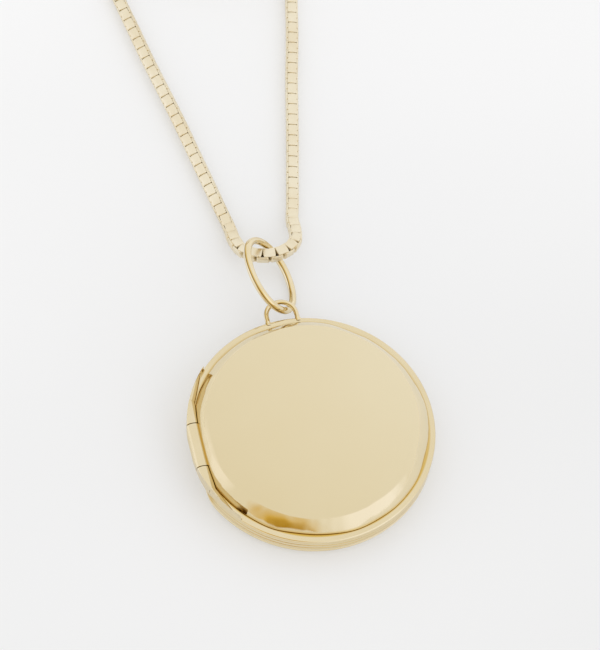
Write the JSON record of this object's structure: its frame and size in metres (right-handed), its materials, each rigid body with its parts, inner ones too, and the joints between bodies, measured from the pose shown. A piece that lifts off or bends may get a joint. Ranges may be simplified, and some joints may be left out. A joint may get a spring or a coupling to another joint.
{
  "type": "pendant necklace",
  "caption": "Round hinged locket with a smooth face, a bail lug and a jump ring on a fine box chain with a spring ring clasp.",
  "frame": {"origin": "centre of the flat resting face of the locket's back cover", "axes": "+Z out of the locket's front cover, +Y to the bail lug and the chain, hinge at -X"},
  "size_m": [0.0249, 0.0902, 0.007],
  "materials": {
    "gold_satin": "fine satin, pale gold plating",
    "gold_polished": "polished gold plating",
    "gold_inner": "brushed gold plating",
    "gold_chain": "polished pale gold plating",
    "spring_steel": "drawn wire",
    "paper": "blank card, matt",
    "window": "clear, glossy"
  },
  "bodies": {
    "chain": {"chain_left": "gold_chain", "chain_right": "gold_chain", "chain_coil": "gold_chain", "chain_tail_left": "gold_chain", "chain_tail_right": "gold_chain", "end_cap_left": "gold_polished", "end_cap_right": "gold_polished"},
    "jump_ring": {"jump_ring": "gold_polished"},
    "locket": {"back_cover": "gold_satin", "inner_bezel": "gold_inner", "hinge_knuckle_upper": "gold_polished", "hinge_knuckle_lower": "gold_polished", "hinge_pin": "spring_steel", "bail_lug": "gold_polished", "back_picture": "paper", "back_window": "window", "back_frame": "gold_inner"},
    "front_cover": {"front_cover": "gold_satin", "hinge_knuckle_middle": "gold_polished", "front_picture": "paper", "front_window": "window", "front_frame": "gold_inner"},
    "end_ring": {"end_ring": "gold_polished"},
    "link_ring": {"link_ring": "gold_polished"},
    "clasp": {"clasp_body": "gold_polished", "clasp_loop": "gold_polished", "clasp_spring": "spring_steel"},
    "clasp_trigger": {"clasp_trigger": "gold_polished"}
  },
  "joints": [
    {"name": "ring_swing", "type": "hinge", "parent": "chain", "child": "jump_ring", "pos_m": [0.00045, 0.02015, 0.00285], "axis": [-0.9539, 0, -0.3], "range_deg": [0, 70]},
    {"name": "locket_swing", "type": "hinge", "parent": "jump_ring", "child": "locket", "pos_m": [-0.0002, 0.0135, 0.00355], "axis": [-0.6157, 0, 0.788], "range_deg": [0, 35]},
    {"name": "lid_hinge", "type": "hinge", "parent": "locket", "child": "front_cover", "pos_m": [-0.01165, 0, 0.0032], "axis": [0, -1, 0], "range_deg": [0, 170]},
    {"name": "end_ring_flip", "type": "hinge", "parent": "chain", "child": "end_ring", "pos_m": [0.00425, 0.0594, 0.00335], "axis": [0, 1, 0], "range_deg": [0, 80]},
    {"name": "link_ring_flip", "type": "hinge", "parent": "chain", "child": "link_ring", "pos_m": [-0.00145, 0.064, 0.00335], "axis": [0, -1, 0], "range_deg": [0, 60]},
    {"name": "clasp_swivel", "type": "hinge", "parent": "link_ring", "child": "clasp", "pos_m": [-0.00045, 0.064, 0.00335], "axis": [0, 0, 1], "range_deg": [0, 40]},
    {"name": "clasp_trigger_slide", "type": "hinge", "parent": "clasp", "child": "clasp_trigger", "pos_m": [0.00387, 0.064, 0.00335], "axis": [0, 0, -1], "range_deg": [0, 50], "stiffness_Nm_per_rad": 0.000002, "springref_deg": -17.19}
  ]
}
